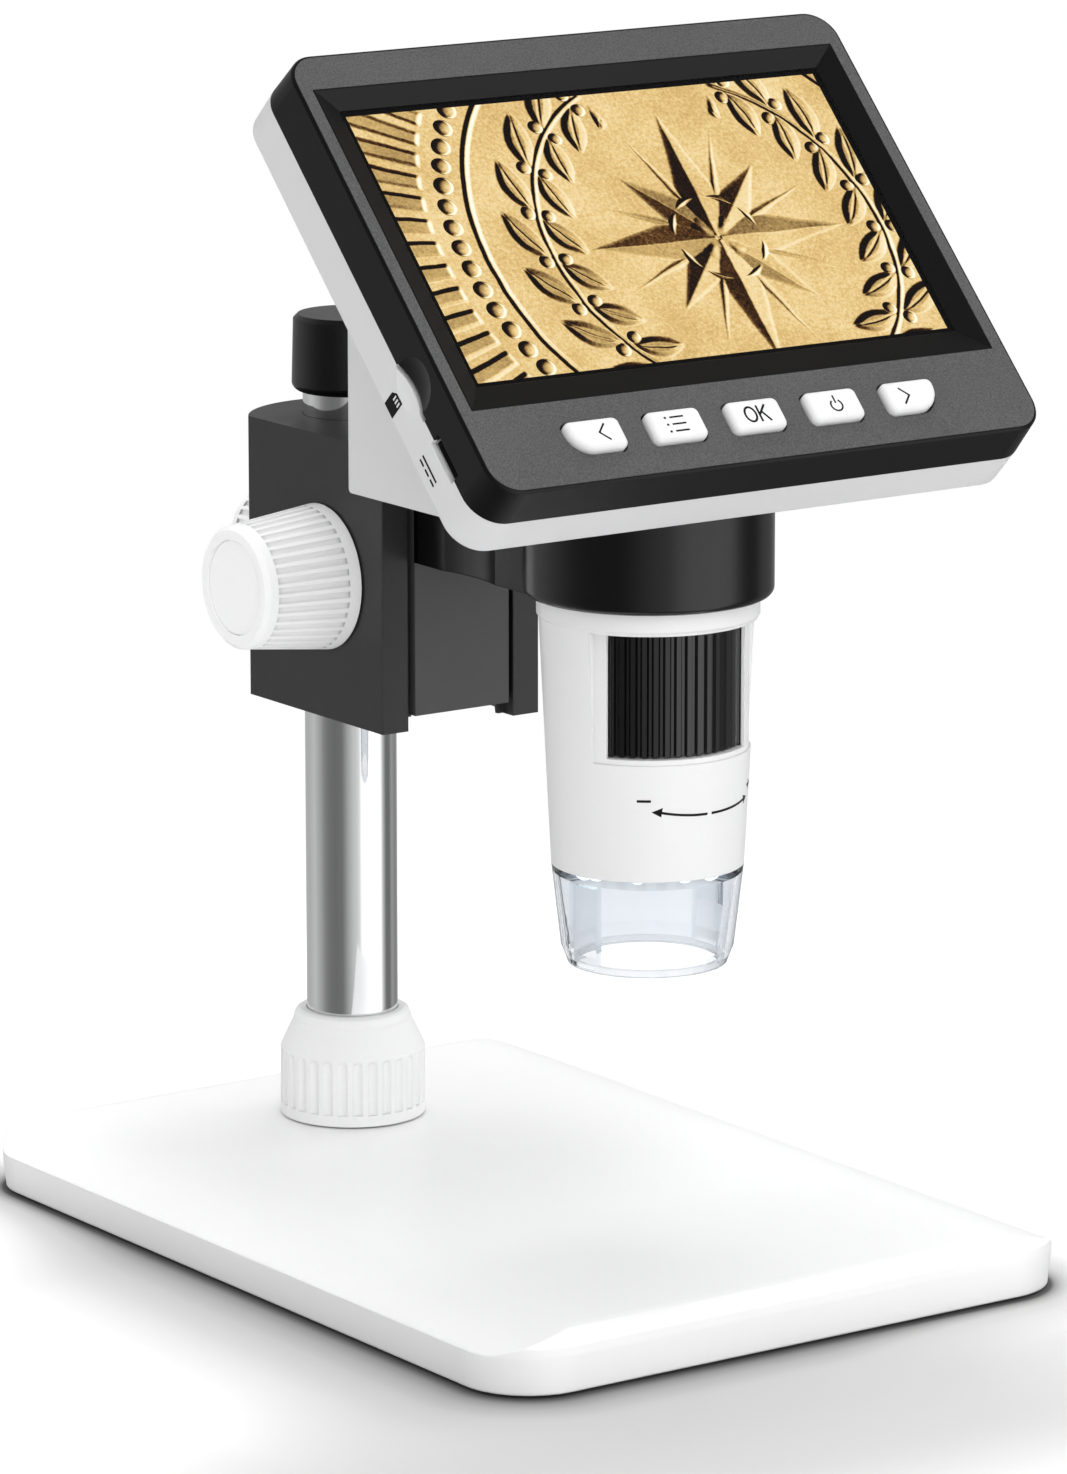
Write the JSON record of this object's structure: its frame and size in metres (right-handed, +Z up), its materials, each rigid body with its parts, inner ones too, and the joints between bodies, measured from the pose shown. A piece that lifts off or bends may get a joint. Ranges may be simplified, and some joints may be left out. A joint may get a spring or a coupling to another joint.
{
  "type": "lcd digital microscope",
  "caption": "Desktop digital microscope: weighted base and post, rack-and-pinion bracket with knobs, ring-held barrel with focus wheel, and a tilted colour display with buttons.",
  "frame": {"origin": "middle of the base's footprint, on the surface that the part stands on", "axes": "+Z up, +X to the right of a person facing the display, +Y to the back, towards the post"},
  "size_m": [0.1186, 0.166, 0.2103],
  "materials": {
    "shell_white": "glossy moulded ABS",
    "base_white": "satin-gloss moulded ABS",
    "knob_white": "glossy ribbed ABS",
    "key_white": "glossy button plastic",
    "chrome": "polished chrome",
    "bracket_black": "black anodised aluminium, satin",
    "ring_black": "black painted aluminium, semi-gloss",
    "cap_black": "gloss black plastic",
    "bezel_black": "satin black plastic",
    "face_grey": "fine-grained dark grey plastic",
    "wheel_black": "satin black ribbed plastic",
    "cover_glass": "black-printed cover glass",
    "clear_plastic": "clear acrylic",
    "lens_glass": "coated optical glass",
    "lcd": "display module",
    "board_green": "printed circuit board",
    "plate_black": "textured black plastic",
    "inner_black": "matt black plastic",
    "ballast_steel": "plain steel plate",
    "screw_steel": "plated steel",
    "brass": "turned brass",
    "rubber": "moulded rubber",
    "felt": "black felt tape",
    "cell_blue": "sleeved lithium cell",
    "flex_amber": "flat flexible circuit",
    "led_white": "white lamp"
  },
  "bodies": {
    "base": {"base_cover": "base_white", "base_plate": "plate_black", "ballast_plate": "ballast_steel", "rubber_feet": "rubber", "base_screws": "screw_steel", "post_socket": "screw_steel"},
    "collar": {"collar_nut": "knob_white"},
    "post": {"post_tube": "chrome", "post_cap": "cap_black"},
    "bracket": {"bracket_housing": "bracket_black", "shaft_bushes": "brass", "clamp_pad": "brass"},
    "clamp": {"clamp_screw": "screw_steel", "clamp_knob": "knob_white", "clamp_knob_cap": "knob_white"},
    "pinion": {"pinion_shaft": "screw_steel", "pinion_gear": "brass", "left_knob": "knob_white", "right_knob": "knob_white", "knob_caps": "knob_white"},
    "slider": {"slider_plate": "bracket_black", "gear_rack": "screw_steel", "holder_ring": "ring_black", "arm_screws": "screw_steel", "ring_lining": "felt"},
    "microscope": {"back_shell": "shell_white", "front_bezel": "bezel_black", "face_plate": "face_grey", "screen_glass": "cover_glass", "lcd_panel": "lcd", "main_board": "board_green", "tact_switches": "screw_steel", "battery_cell": "cell_blue", "usb_port": "screw_steel", "card_slot": "screw_steel", "shell_screws": "screw_steel", "barrel_shell": "shell_white", "barrel_screws": "screw_steel", "wheel_retainer": "inner_black", "sensor_board": "board_green", "image_sensor": "inner_black", "guide_rods": "screw_steel", "sensor_flex": "flex_amber", "led_board": "led_white", "leds": "led_white", "lens_hood": "clear_plastic"},
    "focus_wheel": {"focus_wheel": "wheel_black"},
    "lens_carriage": {"lens_carrier": "inner_black", "lens_elements": "lens_glass"},
    "key_left": {"button_left": "key_white"},
    "key_menu": {"button_menu": "key_white"},
    "key_ok": {"button_ok": "key_white"},
    "key_power": {"button_power": "key_white"},
    "key_right": {"button_right": "key_white"}
  },
  "joints": [
    {"name": "collar_turn", "type": "hinge", "parent": "base", "child": "collar", "pos_m": [0, 0.0505, 0.02], "axis": [0, 0, 1], "range_deg": [0, 180]},
    {"name": "post_swing", "type": "hinge", "parent": "base", "child": "post", "pos_m": [0, 0.0505, 0.05], "axis": [0, 0, 1], "range_deg": [-60, 60]},
    {"name": "height_slide", "type": "slide", "parent": "post", "child": "bracket", "axis": [0, 0, 1], "range_m": [-0.028, 0.0035]},
    {"name": "clamp_turn", "type": "hinge", "parent": "bracket", "child": "clamp", "pos_m": [0, 0.0675, 0.1126], "axis": [0, 1, 0], "range_deg": [0, 180]},
    {"name": "coarse_focus", "type": "slide", "parent": "bracket", "child": "slider", "axis": [0, 0, 1], "range_m": [-0.015, 0.018]},
    {"name": "pinion_spin", "type": "hinge", "parent": "bracket", "child": "pinion", "pos_m": [0, 0.0347, 0.1126], "axis": [1, 0, 0], "range_deg": [-216, 180]},
    {"name": "swivel", "type": "hinge", "parent": "slider", "child": "microscope", "pos_m": [0, -0.0389, 0.128], "axis": [0, 0, 1], "range_deg": [-75, 75]},
    {"name": "fine_focus", "type": "hinge", "parent": "microscope", "child": "focus_wheel", "pos_m": [0, -0.0389, 0.105], "axis": [0, 0, 1], "range_deg": [-100, 100]},
    {"name": "lens_travel", "type": "slide", "parent": "microscope", "child": "lens_carriage", "axis": [0, 0, 1], "range_m": [-0.00252, 0.00252]},
    {"name": "press_left", "type": "slide", "parent": "microscope", "child": "key_left", "axis": [0, 0.7163, -0.6978], "range_m": [0, 0.0008], "stiffness_N_per_m": 500},
    {"name": "press_menu", "type": "slide", "parent": "microscope", "child": "key_menu", "axis": [0, 0.7163, -0.6978], "range_m": [0, 0.0008], "stiffness_N_per_m": 500},
    {"name": "press_ok", "type": "slide", "parent": "microscope", "child": "key_ok", "axis": [0, 0.7163, -0.6978], "range_m": [0, 0.0008], "stiffness_N_per_m": 500},
    {"name": "press_power", "type": "slide", "parent": "microscope", "child": "key_power", "axis": [0, 0.7163, -0.6978], "range_m": [0, 0.0008], "stiffness_N_per_m": 500},
    {"name": "press_right", "type": "slide", "parent": "microscope", "child": "key_right", "axis": [0, 0.7163, -0.6978], "range_m": [0, 0.0008], "stiffness_N_per_m": 500}
  ],
  "couplings": [
    {"joint": "pinion_spin", "follows": "coarse_focus", "rad_per_m": -208.33},
    {"joint": "lens_travel", "follows": "fine_focus", "m_per_rad": 0.0014324}
  ]
}
